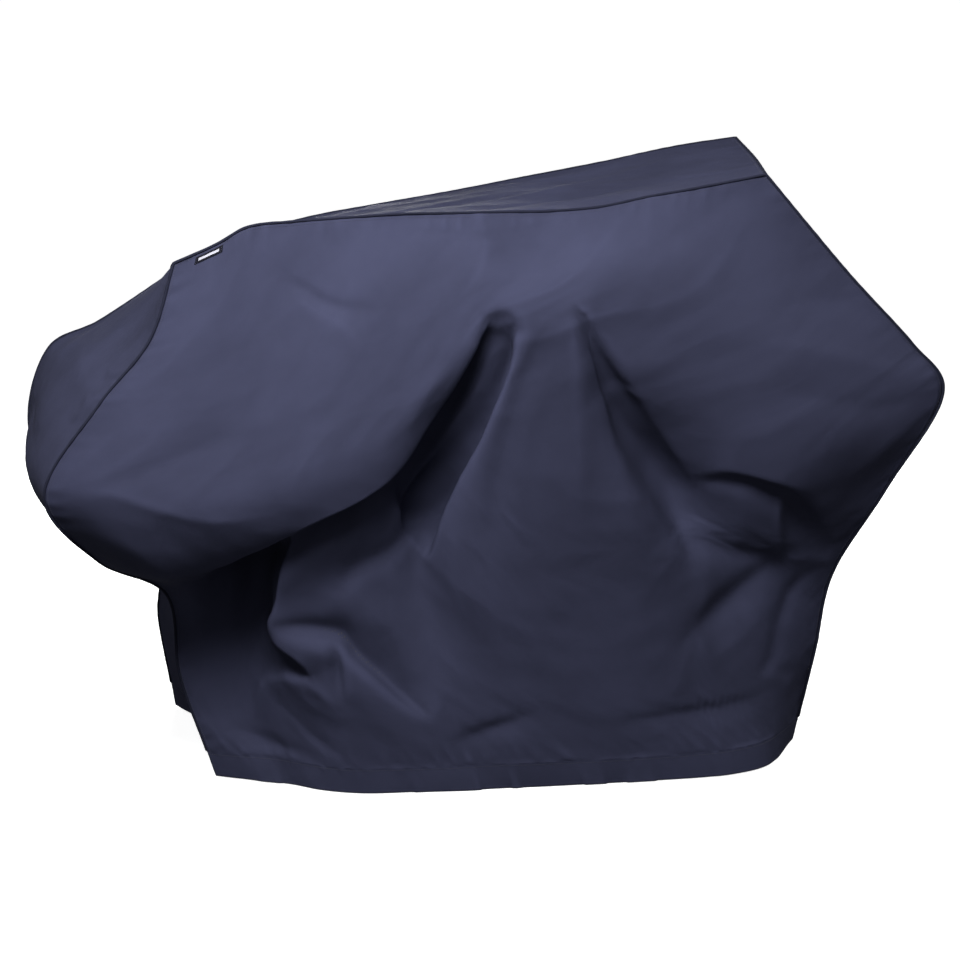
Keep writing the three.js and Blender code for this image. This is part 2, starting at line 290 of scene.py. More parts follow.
FRONT_FOLDS = [
    # the lip of the cloth over the left shelf, and the tuck below it
    fold([(-675, 325), (-575, 400), (-445, 475), (-300, 528), (-235, 562), (-185, 612), (-115, 682),
          (-62, 742), (-30, 785)],
         depth=[0, 6, 12, 14, 14, 13, 11, 8, 0], above=55, below=8, crest=1.3, slide=1.2),
    fold([(-640, 305), (-560, 370), (-440, 440), (-310, 490), (-225, 520)],
         depth=[0, -14, -26, -40, -30], above=14, below=36),
    # the hollow that falls from the left end of the lid handle, with a strip along its middle
    fold([(-150, 405), (-150, 455), (-155, 505), (-132, 565), (-90, 625), (-50, 685), (-22, 730),
          (-5, 764)],
         depth=[-18, -26, -28, -28, -28, -25, -18, -9], above=[12, 34, 54, 60, 54, 45, 38, 34],
         below=[12, 34, 54, 60, 54, 45, 38, 34], crest=4),
    fold([(-215, 525), (-180, 565), (-150, 600), (-102, 658), (-60, 716), (-32, 765)],
         depth=[0, -24, -28, -24, -16, 0], above=10, below=16),
    fold([(-195, 455), (-138, 530), (-88, 600), (-50, 660), (-28, 710), (-14, 750)],
         depth=[0, 26, 34, 30, 16, 0], above=24, below=10, crest=1.3),
    fold([(-160, 440), (-110, 500), (-68, 560), (-35, 615), (-8, 675), (5, 730), (15, 775)],
         depth=[-16, -44, -48, -44, -32, -20, 0], above=20, below=9),
    fold([(-145, 395), (-105, 460), (-75, 510), (-35, 575), (-8, 625), (15, 680), (24, 712), (30, 765)],
         depth=[3, 8, 11, 12, 12, 10, 6, 0], above=20, below=44, crest=1.7, slide=-0.8),
    # the cone below the handle
    fold([(-10, 390), (-5, 515), (35, 655), (88, 780)], depth=[0, -6, -8, 0], above=22, below=24),
    fold([(165, 395), (165, 540), (155, 695), (138, 785)],
         depth=[0, 7, 8, 0], above=30, below=30, crest=1.1),
    # the valley from the right end of the handle, and the edge of the cloth beyond it
    fold([(175, 788), (225, 726), (279, 664), (346, 597), (400, 540), (452, 489)],
         depth=[0, 6, 9, 10, 8, 0], above=60, below=20, crest=1.3, slide=0.1),
    fold([(168, 782), (210, 720), (253, 662), (308, 598), (362, 538), (404, 482), (428, 434),
          (442, 396), (454, 340)],
         depth=[-8, -24, -34, -40, -40, -34, -25, -14, 0], above=[8, 14, 17, 19, 20, 20, 20, 20, 24],
         below=[18, 30, 44, 54, 56, 48, 36, 28, 26], crest=1.8),
    # the right-hand tuck: its lip, the hollow, the crease across it and the skirt below
    fold([(462, 515), (500, 526), (560, 518), (660, 492), (715, 450), (785, 375)],
         depth=[2, 6, 7, 8, 8, 0], above=40, below=9, crest=1.5, slide=0.6),
    fold([(475, 500), (560, 496), (640, 465), (700, 425), (765, 372)],
         depth=[-4, -9, -13, -16, -7], above=[14, 20, 24, 24, 16], below=[14, 24, 32, 34, 20]),
    fold([(652, 372), (640, 435), (632, 490)], depth=[5, 11, 0], above=36, below=6, crest=1.3, slide=-0.4),
    fold([(440, 410), (472, 393), (555, 370), (655, 352)], depth=[0, -6, -6, -2], above=18, below=22),
    fold([(640, 360), (705, 356), (790, 343)], depth=[0, 6, 4], above=9, below=30, crest=1.2),
    fold([(390, 215), (485, 263), (570, 305), (640, 345)],
         depth=[0, -10, -12, -5], above=24, below=30, crest=1.8),
    fold([(610, 150), (655, 172), (672, 232), (700, 292), (750, 328)],
         depth=[0, -6, -7, -7, 0], above=20, below=14, crest=1.5),
    # the left edge of the skirt's lobe, its corner and the creases that spread from it
    fold([(-477, 282), (-466, 298), (-456, 355), (-452, 398), (-458, 470)],
         depth=[10, 16, 16, 14, 0], above=5, below=45, crest=1.3, slide=-0.7),
    fold([(-477, 282), (-450, 255), (-420, 235), (-398, 203)],
         depth=[10, 15, 14, 3], above=30, below=5, crest=1.2, slide=0.7),
    fold([(-482, 262), (-454, 236), (-418, 203)], depth=[-8, -24, -6], above=6, below=14, crest=1.5),
    fold([(-470, 290), (-430, 287), (-380, 280), (-335, 268), (-300, 236), (-255, 207), (-195, 162),
          (-140, 130)],
         depth=[0, -10, -18, -27, -32, -31, -21, 0], above=[8, 14, 22, 36, 48, 50, 42, 28], below=10,
         crest=1.5),
    fold([(-462, 278), (-425, 262), (-380, 248), (-350, 225)],
         depth=[0, 5, 6, 0], above=14, below=16, crest=1.3),
    fold([(-338, 160), (-342, 208), (-345, 255)], depth=[0, -17, -6], above=12, below=4, crest=1.3),
    fold([(-335, 335), (-315, 372), (-225, 402), (-105, 470)],
         depth=[0, -12, -13, 0], above=34, below=14, crest=1.5),
    fold([(-515, 105), (-502, 165), (-470, 190), (-415, 192), (-365, 165), (-335, 118)],
         depth=[0, 8, 11, 10, 8, 0], above=12, below=60, crest=1.5),
    fold([(-440, 118), (-395, 86), (-320, 60)], depth=[0, -5, 0], above=16, below=12, crest=1.4),
    fold([(-585, 92), (-495, 72), (-435, 55), (-360, 28)],
         depth=[0, -7, -5, 0], above=14, below=24, crest=1.4),
    # the foot of the skirt
    fold([(-110, 78), (-10, 104), (95, 130)], depth=[0, -9, 0], above=12, below=26, crest=1.4),
    fold([(255, 108), (450, 113), (675, 122)], depth=[0, -8, 0], above=14, below=34, crest=1.4),
    # the creases it was packed with
    fold([(5, 180), (8, 125), (10, 72)], depth=[0, -2, 0], above=4, below=4, crest=1.2),
    fold([(528, 70), (527, 35), (525, 5)], depth=[0, -2, 0], above=4, below=4, crest=1.2),
    # creases that run in from the top seam, the shelf corners and the handle
    fold([(-205, 908), (-140, 912), (-15, 908), (115, 922), (225, 938)],
         depth=[0, -3, -3.5, -3, 0], above=3, below=8, crest=1.3),
    fold([(-455, 850), (-405, 828), (-350, 806), (-255, 797)],
         depth=[0, -9, -9, 0], above=12, below=36, crest=1.2),
    fold([(-455, 850), (-395, 805), (-330, 775), (-285, 730)],
         depth=[0, 6, 6, 0], above=26, below=30, crest=1.1),
    fold([(-925, 530), (-830, 560), (-730, 610), (-660, 680)],
         depth=[0, 6, 5, 0], above=26, below=40, crest=1.1),
    fold([(-925, 530), (-780, 557), (-630, 600), (-500, 630)],
         depth=[0, -5, -4, 0], above=20, below=30, crest=1.2),
    fold([(-935, 522), (-820, 533), (-715, 510), (-605, 490), (-480, 500)],
         depth=[0, 7, 9, 7, 0], above=40, below=22, crest=1.1),
    fold([(580, 990), (480, 935), (385, 900), (250, 860)],
         depth=[0, -3, -4, 0], above=18, below=40, crest=1.2),
    fold([(975, 640), (845, 682), (655, 722), (470, 742)],
         depth=[0, 6, 5, 0], above=40, below=30, crest=1.1),
    fold([(975, 640), (845, 618), (695, 640), (555, 662)],
         depth=[0, -5, -4, 0], above=22, below=30, crest=1.2),
    fold([(900, 742), (760, 785), (655, 790), (500, 752)],
         depth=[0, -4, -4, 0], above=22, below=40, crest=1.2),
    fold([(980, 635), (880, 560), (790, 500)], depth=[0, 6, 0], above=26, below=26, crest=1.1),
]
BACK_FOLDS = [
    # creases that fan out from the waist below each shelf, and the slack between them
    fold([(815, 345), (700, 425), (560, 455), (400, 440)],
         depth=[4, 14, 13, 0], above=42, below=10, crest=1.3, slide=0.6),
    fold([(800, 330), (680, 385), (540, 405), (380, 390)], depth=[-4, -20, -18, 0], above=14, below=30),
    fold([(840, 400), (740, 520), (620, 600), (480, 650)],
         depth=[4, 10, 8, 0], above=30, below=12, crest=1.2),
    fold([(850, 380), (760, 470), (640, 540), (500, 560)],
         depth=[0, -9, -9, 0], above=20, below=20, crest=1.4),
    fold([(-400, 410), (-540, 425), (-680, 390), (-790, 320)],
         depth=[0, 13, 14, 4], above=42, below=10, crest=1.3, slide=0.6),
    fold([(-380, 360), (-520, 375), (-650, 350), (-770, 300)], depth=[0, -18, -20, -4], above=14, below=30),
    fold([(-470, 600), (-610, 560), (-740, 490), (-840, 390)],
         depth=[0, 8, 10, 4], above=30, below=12, crest=1.2),
    fold([(-500, 520), (-640, 500), (-760, 440), (-850, 370)],
         depth=[0, -9, -9, 0], above=20, below=20, crest=1.4),
    # drag lines between the corners
    fold([(940, 640), (780, 680), (600, 670), (420, 620)],
         depth=[0, 9, 8, 0], above=36, below=18, crest=1.1),
    fold([(930, 700), (760, 750), (560, 750), (360, 720)],
         depth=[0, -9, -8, 0], above=22, below=36, crest=1.2),
    fold([(660, 960), (520, 860), (380, 790), (200, 740)],
         depth=[0, -9, -8, 0], above=18, below=36, crest=1.2),
    fold([(640, 930), (420, 880), (200, 850), (0, 800)], depth=[0, 6, 7, 0], above=24, below=24, crest=1.1),
    fold([(-180, 660), (-380, 650), (-600, 620), (-930, 560)],
         depth=[0, 8, 9, 0], above=30, below=18, crest=1.1),
    fold([(-240, 740), (-420, 725), (-560, 745), (-640, 780)],
         depth=[0, -9, -8, 0], above=20, below=34, crest=1.2),
    fold([(260, 660), (60, 610), (-120, 590), (-320, 570)],
         depth=[0, -9, -9, 0], above=16, below=40, crest=1.3),
    fold([(220, 520), (40, 480), (-160, 490), (-300, 470)],
         depth=[0, 8, 7, 0], above=30, below=14, crest=1.2),
    # the crests of the skirt's soft upright folds
    fold([(600, 360), (625, 240), (605, 100), (600, 30)],
         depth=[0, 9, 13, 9], above=34, below=24, crest=1.8),
    fold([(240, 470), (235, 300), (250, 120), (255, 30)],
         depth=[0, 9, 15, 11], above=24, below=38, crest=1.8),
    fold([(-190, 460), (-205, 290), (-190, 120), (-185, 30)],
         depth=[0, 9, 15, 11], above=36, below=24, crest=1.8),
    fold([(-500, 350), (-545, 230), (-525, 100), (-500, 30)],
         depth=[0, 9, 13, 9], above=24, below=34, crest=1.8),
    fold([(120, 330), (110, 230), (135, 120)], depth=[0, 7, 0], above=18, below=22, crest=1.6),
    fold([(-300, 300), (-290, 200), (-280, 90)], depth=[0, 8, 0], above=22, below=18, crest=1.6),
]
RIGHT_FOLDS = [
    fold([(-560, 470), (-300, 430), (100, 440), (560, 470)],
         depth=[0, 10, 10, 0], above=45, below=10, crest=1.3, slide=0.6),
    fold([(-480, 420), (-120, 385), (300, 400), (520, 430)], depth=[0, -14, -14, 0], above=14, below=34),
    fold([(-640, 700), (-300, 660), (60, 640), (420, 660)],
         depth=[0, -5, -6, 0], above=26, below=40, crest=1.3),
    fold([(-620, 900), (-280, 820), (120, 790), (560, 800)],
         depth=[0, 5, 6, 0], above=40, below=30, crest=1.1),
    fold([(-220, 330), (-190, 200), (-160, 60), (-150, 10)],
         depth=[0, 12, 17, 13], above=26, below=30, crest=1.4),
    fold([(60, 320), (40, 190), (70, 60), (65, 10)],
         depth=[0, -12, -16, -12], above=26, below=26, crest=1.6),
    fold([(330, 340), (300, 210), (330, 80), (320, 20)],
         depth=[0, 11, 15, 11], above=28, below=24, crest=1.4),
]
LEFT_FOLDS = [
    fold([(600, 400), (260, 350), (-80, 340), (-420, 380)],
         depth=[0, 12, 12, 0], above=45, below=10, crest=1.3, slide=0.6),
    fold([(560, 360), (240, 310), (-60, 300), (-360, 335)], depth=[0, -14, -14, 0], above=14, below=30),
    fold([(700, 560), (360, 590), (20, 570), (-560, 600)],
         depth=[0, -6, -6, 0], above=26, below=40, crest=1.3),
    fold([(690, 640), (300, 700), (-60, 690), (-620, 660)],
         depth=[0, 5, 6, 0], above=34, below=34, crest=1.1),
    # puckers beside the front seam, above the shelf's corner
    fold([(-420, 700), (-560, 690), (-690, 700)], depth=[0, -6, -5], above=9, below=16, crest=1.4),
    fold([(-470, 665), (-600, 655), (-700, 668)], depth=[0, 6, 4], above=12, below=9, crest=1.3),
    fold([(-430, 630), (-580, 625), (-715, 640)], depth=[0, -5, -5], above=8, below=14, crest=1.4),
    fold([(520, 280), (560, 170), (540, 60), (545, 10)],
         depth=[0, 10, 14, 10], above=26, below=26, crest=1.4),
    fold([(330, 260), (300, 160), (330, 60), (325, 10)],
         depth=[0, -10, -14, -10], above=26, below=26, crest=1.6),
    fold([(120, 270), (90, 170), (60, 60), (60, 10)], depth=[0, 10, 13, 9], above=28, below=24, crest=1.4),
]
TOP_FOLDS = [
    fold([(-600, -420), (-420, -120), (-160, 60), (160, 120)],
         depth=[0, -4, -4, 0], above=26, below=34, crest=1.3),
    fold([(560, 520), (360, 260), (120, 60), (-160, -80)],
         depth=[0, 4, 4, 0], above=34, below=26, crest=1.2),
    fold([(600, -400), (420, -220), (160, -260), (-60, -420)],
         depth=[0, -3, -4, 0], above=20, below=30, crest=1.3),
    fold([(-560, 480), (-340, 420), (-80, 460), (180, 400)],
         depth=[0, 3, 3, 0], above=24, below=24, crest=1.2),
]


# ---------------------------------------------------------------- lofting

def spline(points, count):
    """Points along a centripetal Catmull-Rom curve through points, count steps in all."""
    points = np.asarray(points, float)
    ends = np.concatenate([[2 * points[0] - points[1]], points, [2 * points[-1] - points[-2]]])
    places = np.linspace(0, len(points) - 1, count + 1)
    first = np.minimum(places.astype(int), len(points) - 2)
    w = (places - first).reshape(-1, *[1] * (points.ndim - 1))
    p0, p1, p2, p3 = (ends[first + k] for k in range(4))

    def knot(a, b):
        return np.maximum(((a - b) ** 2).sum(axis=-1, keepdims=True) ** 0.25, 1e-4)

    d0, d1, d2 = knot(p0, p1), knot(p1, p2), knot(p2, p3)
    t1 = ((p1 - p0) / d0 - (p2 - p0) / (d0 + d1) + (p2 - p1) / d1) * d1
    t2 = ((p2 - p1) / d1 - (p3 - p1) / (d1 + d2) + (p3 - p2) / d2) * d1
    return p1 + t1 * w + (3 * (p2 - p1) - 2 * t1 - t2) * w**2 + (2 * (p1 - p2) + t1 + t2) * w**3


def loft(columns, across, down):
    """A grid of points, grid[across, down], through columns that all have the same rings."""
    rings = spline(np.stack(columns), across)
    return spline(rings.swapaxes(0, 1), down).swapaxes(0, 1)


def wall(columns, across):
    """The grids of a wall of the cover: its cloth down to the hem, and the hem below it."""
    upper = []
    for net in columns:
        above = net.copy()
        above[-1] += (net[-2] - net[-1]) * HEM_HEIGHT / net[-2][2]
        upper.append(above)
    cloth = loft(upper, across, DOWN)
    bottom = spline([net[-1] for net in columns], across)
    fall = np.linspace(0, 1, HEM_ROWS + 1)[None, :, None]
    return cloth, cloth[:, -1:] * (1 - fall) + bottom[:, None] * fall


def unit(vectors):
    return vectors / np.maximum(np.linalg.norm(vectors, axis=-1, keepdims=True), 1e-12)


def normals_of(grid):
    """Outward unit normals of a grid whose columns run left to right as seen from outside."""
    across, down = np.gradient(grid, axis=0), np.gradient(grid, axis=1)
    return unit(np.cross(down, across))


def smooth_step(x):
    x = np.clip(x, 0, 1)
    return x * x * (3 - 2 * x)


def cloth_lengths(grid):
    """Cloth coordinates of a grid in metres: across from its left border and down from its top."""
    lengths_across = np.linalg.norm(np.diff(grid, axis=0), axis=-1).cumsum(axis=0)
    lengths_down = np.linalg.norm(np.diff(grid, axis=1), axis=-1).cumsum(axis=1)
    return np.pad(lengths_across, ((1, 0), (0, 0))), np.pad(lengths_down, ((0, 0), (1, 0)))


def distances_in(u, v):
    """The distances from the left, right, top and bottom borders, out of cloth coordinates."""
    return u, u[-1:] - u, v, v[:, -1:] - v


def away_from_borders(grid, reach):
    """0 on the borders of a grid, 1 beyond reach from all of them."""
    weight = np.ones(grid.shape[:2])
    for distance in distances_in(*cloth_lengths(grid)):
        weight *= smooth_step(distance / reach)
    return weight


def press_folds(grid, folds, side):
    """Moves the points of a grid by the sum of all the folds on that side."""
    axes, outward = SIDES[side]
    points = grid.reshape(-1, 3)
    normals = normals_of(grid)
    moved = np.zeros(grid.shape)
    for each in folds:
        count = len(each["path"])
        steps = PATH_STEPS * (count - 1)
        flat_path = spline(np.array(each["path"]) * UNIT[axes], steps)
        depth, above, below = (spline(np.broadcast_to(each[key], count)[:, None] / 1000, steps)[:, 0]
                               for key in ("depth", "above", "below"))
        path = on_surface(points, flat_path, axes, outward)
        reach = FOLD_REACH * max(above.max(), below.max())
        inside = ((points > path.min(axis=0) - reach) & (points < path.max(axis=0) + reach)).all(axis=1)
        distance, nearest, upward, downward = distance_to_path(points[inside], path, outward)
        upper = 0.5 + 0.5 * np.tanh(upward / SIDE_BLEND)
        spread = above[nearest] * upper + below[nearest] * (1 - upper)
        height = np.exp(-((distance / spread) ** each["crest"])) * depth[nearest]
        push = np.zeros((len(points), 3))
        push[inside] = height[:, None] * (normals.reshape(-1, 3)[inside] + each["slide"] * downward)
        moved += push.reshape(grid.shape)
    return grid + soften(moved, 1)


def soften(field, passes):
    """Blurs a field over the grid."""
    for _ in range(passes):
        for axis in (0, 1):
            padded = np.concatenate([field.take([0], axis), field, field.take([-1], axis)], axis)
            count = field.shape[axis]
            ahead, behind = (padded.take(range(k, k + count), axis) for k in (2, 0))
            field = 0.5 * field + 0.25 * (ahead + behind)
    return field


def on_surface(points, flat_path, axes, outward):
    """A path drawn on a side view, laid on the outermost cloth below each of its points."""
    height = points @ outward
    found = []
    for place in flat_path:
        near = np.linalg.norm(points[:, axes] - place, axis=1) < NEAR_PATH
        found.append(height[near].max() if near.any() else np.nan)
    found = np.array(found)
    known = ~np.isnan(found)
    places = np.arange(len(found))
    level = np.interp(places, places[known], found[known])
    for _ in range(8):
        level[1:-1] = 0.5 * level[1:-1] + 0.25 * (level[2:] + level[:-2])
    path = np.zeros((len(found), 3))
    path[:, axes] = flat_path
    return path + level[:, None] * outward


def distance_to_path(points, path, outward):
    """Each point's distance to a path, its nearest path point, how far it is above the path, and
    the direction downward from the path there, as seen from outside."""
    distance = np.full(len(points), np.inf)
    nearest = np.zeros(len(points), int)
    for i, place in enumerate(path):
        away = np.linalg.norm(points - place, axis=1)
        closer = away < distance
        distance[closer] = away[closer]
        nearest[closer] = i
    along = np.gradient(path, axis=0)[nearest]
    along /= np.linalg.norm(along, axis=1, keepdims=True)
    upward = np.cross(along, points - path[nearest]) @ outward
    return distance, nearest, upward, np.cross(along, outward)


def waves(u, v, wavelength, seed, count=14):
    """A smooth random surface over cloth coordinates in metres, about 1 high."""
    random = np.random.default_rng(seed)
    total = np.zeros(u.shape)
    for _ in range(count):
        angle = random.uniform(0, 2 * math.pi)
        length = wavelength * random.uniform(0.7, 1.5)
        phase = random.uniform(0, 2 * math.pi)
        total += np.sin(2 * math.pi * (u * math.cos(angle) + v * math.sin(angle)) / length + phase)
    return total / math.sqrt(count)


def crumple(grid, seed):
    """Adds the shallow creases and ripples of cloth that has been folded away, and puckers by the
    seams."""
    u, v = cloth_lengths(grid)
    borders = distances_in(u, v)
    creases = 1 - 2 * np.abs(waves(u, v, CREASE_SPACING, seed))
    ripples = waves(u, v, RIPPLE_SPACING, seed + 1)
    height = CREASE_HEIGHT * creases + RIPPLE_HEIGHT * ripples
    for distance, along in zip(borders, (v, v, u, u)):
        near = (distance / PUCKER_REACH) * np.exp(1 - distance / PUCKER_REACH)
        height += PUCKER_HEIGHT * near * waves(along, 0 * along, PUCKER_SPACING, seed + 2)
    height *= smooth_step(np.minimum.reduce(borders) / FLAT_AT_SEAM)
    return grid + height[..., None] * normals_of(grid)


def build_grids():
    """The outer faces of the panels and hems, as grids[name][across, down], in their real places."""
    front, front_hem = wall(FRONT, ACROSS_LONG)
    right, right_hem = wall(RIGHT_SIDE, ACROSS_SHORT)
    back, back_hem = wall(BACK, ACROSS_LONG)
    left, left_hem = wall(LEFT_SIDE, ACROSS_SHORT)
    middle = spline(TOP_MIDDLE, ACROSS_LONG)
    top = spline(np.stack([back[::-1, 0], middle, front[:, 0]]), ACROSS_SHORT).swapaxes(0, 1)
    grids = dict(front_panel=front, right_gusset=right, back_panel=back, left_gusset=left, top_gusset=top)
    folds = dict(front=FRONT_FOLDS, right=RIGHT_FOLDS, back=BACK_FOLDS, left=LEFT_FOLDS, top=TOP_FOLDS)
    for seed, (name, side) in enumerate(zip(grids, folds)):
        grid = grids[name]
        weight = away_from_borders(grid, FOLDS_WHOLE)[..., None]
        grid = grid + (press_folds(grid, folds[side], side) - grid) * weight
        grids[name] = crumple(grid, 10 * seed)
    grids.update(front_hem=front_hem, right_hem=right_hem, back_hem=back_hem, left_hem=left_hem)
    everything = np.concatenate([grid.reshape(-1, 3) for grid in grids.values()])
    shift = (CAD_LOW + CAD_HIGH) / 2 - (everything.min(axis=0) + everything.max(axis=0)) / 2
    shift[2] = 0
    return {name: grid + shift for name, grid in grids.items()}


# ---------------------------------------------------------------- lines along the cloth

def inset_line(grid, border, distance):
    """The points and normals of a grid at a distance in from its left, right or top border."""

    def inward(field):
        return dict(l=field.swapaxes(0, 1), r=field[::-1].swapaxes(0, 1), t=field)[border]

    steps = np.linalg.norm(np.diff(inward(grid), axis=1), axis=-1).cumsum(axis=1)
    lengths = np.pad(steps, ((0, 0), (1, 0)))
    lines = []
    for field in (grid, normals_of(grid)):
        lines.append([[np.interp(distance, length, row[:, axis]) for axis in range(3)]
                      for row, length in zip(inward(field), lengths)])
    return np.array(lines[0]), np.array(lines[1])


def evenly(line, spacing, *others):
    """A line, and other values along it, taken again at equal steps of about the spacing."""
    steps = np.linalg.norm(np.diff(line, axis=0), axis=1).cumsum()
    lengths = np.insert(steps, 0, 0)
    places = np.linspace(0, lengths[-1], max(2, round(lengths[-1] / spacing)) + 1)
    return [np.stack([np.interp(places, lengths, values[:, axis]) for axis in range(values.shape[1])], axis=1)
            for values in (line, *others)]


# ---------------------------------------------------------------- pieces

def make_piece(name, points, faces, materials, uv=None, face_materials=None):
    """A smooth mesh on the root body. faces is a list; points and uv are arrays of any shape."""
    mesh = bpy.data.meshes.new(name)
    mesh.from_pydata(points.reshape(-1, 3).tolist(), [], faces)
    mesh.polygons.foreach_set("use_smooth", [True] * len(mesh.polygons))
    for material in materials:
        mesh.materials.append(material)
    if face_materials is not None:
        mesh.polygons.foreach_set("material_index", face_materials)
    if uv is not None:
        corners = np.empty(len(mesh.loops), int)
        mesh.loops.foreach_get("vertex_index", corners)
        mesh.uv_layers.new(name="cloth_metres").data.foreach_set("uv", uv.reshape(-1, 2)[corners].ravel())
    piece = bpy.data.objects.new(name, mesh)
    bpy.context.scene.collection.objects.link(piece)
    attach(piece, "root")
    return piece


def grid_faces(index):
    """The quads of a grid of point numbers."""
    corners = [index[:-1, :-1], index[:-1, 1:], index[1:, 1:], index[1:, :-1]]
    return np.stack(corners, axis=-1).reshape(-1, 4)


def held(field):
    """Adds a line of values just inside a grid's top and bottom, so that the turn at the cut edge
    doesn't shade the cloth beside it."""
    share = 0.03
    below_top = field[:, :1] * (1 - share) + field[:, 1:2] * share
    above_bottom = field[:, -1:] * (1 - share) + field[:, -2:-1] * share
    return np.concatenate([field[:, :1], below_top, field[:, 1:-1], above_bottom, field[:, -1:]], axis=1)


def shell(name, outer, inner, outside, inside):
    """A closed sheet between an outer and an inner grid, with a material for each side."""
    u, v, crest = (held(field) for field in (*cloth_lengths(outer), crests_of(outer)))
    outer, inner = held(outer), held(inner)
    across, down = outer.shape[:2]
    index = np.arange(across * down).reshape(across, down)
    border = np.concatenate([index[0, :-1], index[:-1, -1], index[-1, :0:-1], index[:0:-1, 0]])
    after = np.roll(border, -1)
    rim = np.stack([after, border, border + index.size, after + index.size], axis=1)
    face = grid_faces(index)
    faces = np.concatenate([face, face[:, ::-1] + index.size, rim])
    uv = np.stack([u, -v], axis=-1)
    face_materials = np.repeat([0, 1, 0], [len(face), len(face), len(rim)])
    piece = make_piece(name, np.stack([outer, inner]), faces.tolist(), [outside, inside],
                       np.stack([uv, uv]), face_materials)
    # the cut edge is shaded flat
    smooth = np.repeat([True, False], [2 * len(face), len(rim)])
    piece.data.polygons.foreach_set("use_smooth", smooth)
    # how sharply the cloth bends, which the material uses to paint the ridges paler as a painted highlight,
    # partly wear
    attribute = piece.data.attributes.new("crest", "FLOAT", "POINT")
    attribute.data.foreach_set("value", np.tile(crest.ravel(), 2))
    return piece


def crests_of(grid):
    """How sharply the cloth bends outward at each point, from -1 in a valley to 1 on a ridge."""
    bend = np.zeros(grid.shape[:2])
    for axis in (0, 1):
        step = np.maximum(np.linalg.norm(np.gradient(grid, axis=axis), axis=-1), 1e-4)
        second = np.gradient(np.gradient(grid, axis=axis), axis=axis)
        bend -= (second * normals_of(grid)).sum(axis=-1) / step**2
    return soften(np.tanh(bend * BEND_RADIUS), 2)


def panel(name, grid, outside, inside):
    """One cut piece of cloth."""
    inner = grid - normals_of(grid) * CLOTH
    piece = shell(name + "_cloth", grid, inner, outside, inside)
    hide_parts(name)
    return piece


def hem(name, grid, outside, inside):
    """A turned-up hem: pinched at its stitching, full below it and rolled at the bottom edge."""
    # the share of the way down, and the millimetres that the outer and inner faces stand out there
    fall = np.array([0, 0.04, 0.08, 0.12, 0.18, 0.3, 0.45, 0.6, 0.75, 0.87, 0.94, 0.98, 1])
    outward = np.array([0, 0, -0.1, 0, 0.1, 0.3, 0.4, 0.5, 0.5, 0.4, 0.2, -0.2, -1.1]) / 1000
    inward = -np.array([1.2, 1.4, 1.6, 1.8, 2.2, 2.6, 2.8, 2.8, 2.7, 2.6, 2.4, 2.0, 1.5]) / 1000
    top, bottom = grid[:, :1], grid[:, -1:]
    base = top + (bottom - top) * fall[None, :, None]
    level = unit(normals_of(base) * [1, 1, 0])
    u, _ = cloth_lengths(base)
    # it sways at the bottom edge, away from its two ends, and puckers at its stitching
    sway = 0.0012 * waves(u, 0 * u, 0.09, 71) * np.minimum(u, u[-1:] - u) / 0.03
    sway = np.clip(sway, -0.0015, 0.0015) * fall
    pucker = 0.0004 * waves(u, 0 * u, 0.02, 72) * np.exp(-((fall - 0.1) / 0.1) ** 2)
    outer = base + level * (outward + sway + pucker)[..., None]
    inner = base + level * (inward + sway)[..., None]
    piece = shell(name + "_cloth", outer, inner, outside, inside)
    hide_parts(name)
    return piece, outer


def welt(name, line, material, node):
    """Fabric piping along a seam, a little uneven where the seam draws it in."""
    sides = 10
    line, = evenly(line, WELT_STEP)
    along = unit(np.gradient(line, axis=0))
    across = unit(np.cross(along, unit(np.cross(along, np.array([0.3, 0.8, 0.5])))))
    up = np.cross(along, across)
    length = np.insert(np.linalg.norm(np.diff(line, axis=0), axis=1).cumsum(), 0, 0)
    radius = WELT_RADIUS * (0.86 + 0.05 * waves(length, 0 * length, 0.03, 81))
    radius[0] = radius[-1] = 0.0004
    angle = np.linspace(0, 2 * math.pi, sides, endpoint=False)
    ring = np.cos(angle)[None, :, None] * across[:, None] + np.sin(angle)[None, :, None] * up[:, None]
    points = line[:, None] + ring * radius[:, None, None]
    index = np.arange(len(line) * sides).reshape(len(line), sides)
    looped = np.concatenate([index, index[:, :1]], axis=1)
    faces = grid_faces(looped).tolist()
    faces += [index[0].tolist(), index[-1, ::-1].tolist()]
    uv = np.stack(np.broadcast_arrays(length[:, None], angle[None] * WELT_RADIUS), axis=-1)
    piece = make_piece(name, points, faces, [material], uv)
    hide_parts(node)


def stitching(name, rows, material):
    """Rows of thread stitches; each row is a line of points and the normals of the cloth there."""
    lift = 0.3 * STITCH_RADIUS
    half_length = 0.36 * STITCH_PITCH
    points = []
    for line, normals in rows:
        line, normals = evenly(line, STITCH_PITCH, normals)
        along, normals = unit(np.gradient(line, axis=0)), unit(normals)
        side = np.cross(along, normals)
        middle = line + normals * lift
        ends = half_length * along
        corner = np.stack([middle - ends, middle + ends], axis=1)
        ring = [middle + STITCH_RADIUS * way for way in (side, normals, -side, -normals)]
        points.append(np.concatenate([corner, np.stack(ring, axis=1)], axis=1))
    points = np.concatenate(points)
    start = 6 * np.arange(len(points))[:, None, None]
    one = [(0, 2 + (k + 1) % 4, 2 + k) for k in range(4)] + [(1, 2 + k, 2 + (k + 1) % 4) for k in range(4)]
    faces = (np.array(one)[None] + start).reshape(-1, 3)
    piece = make_piece(name, points, faces.tolist(), [material])
    return piece


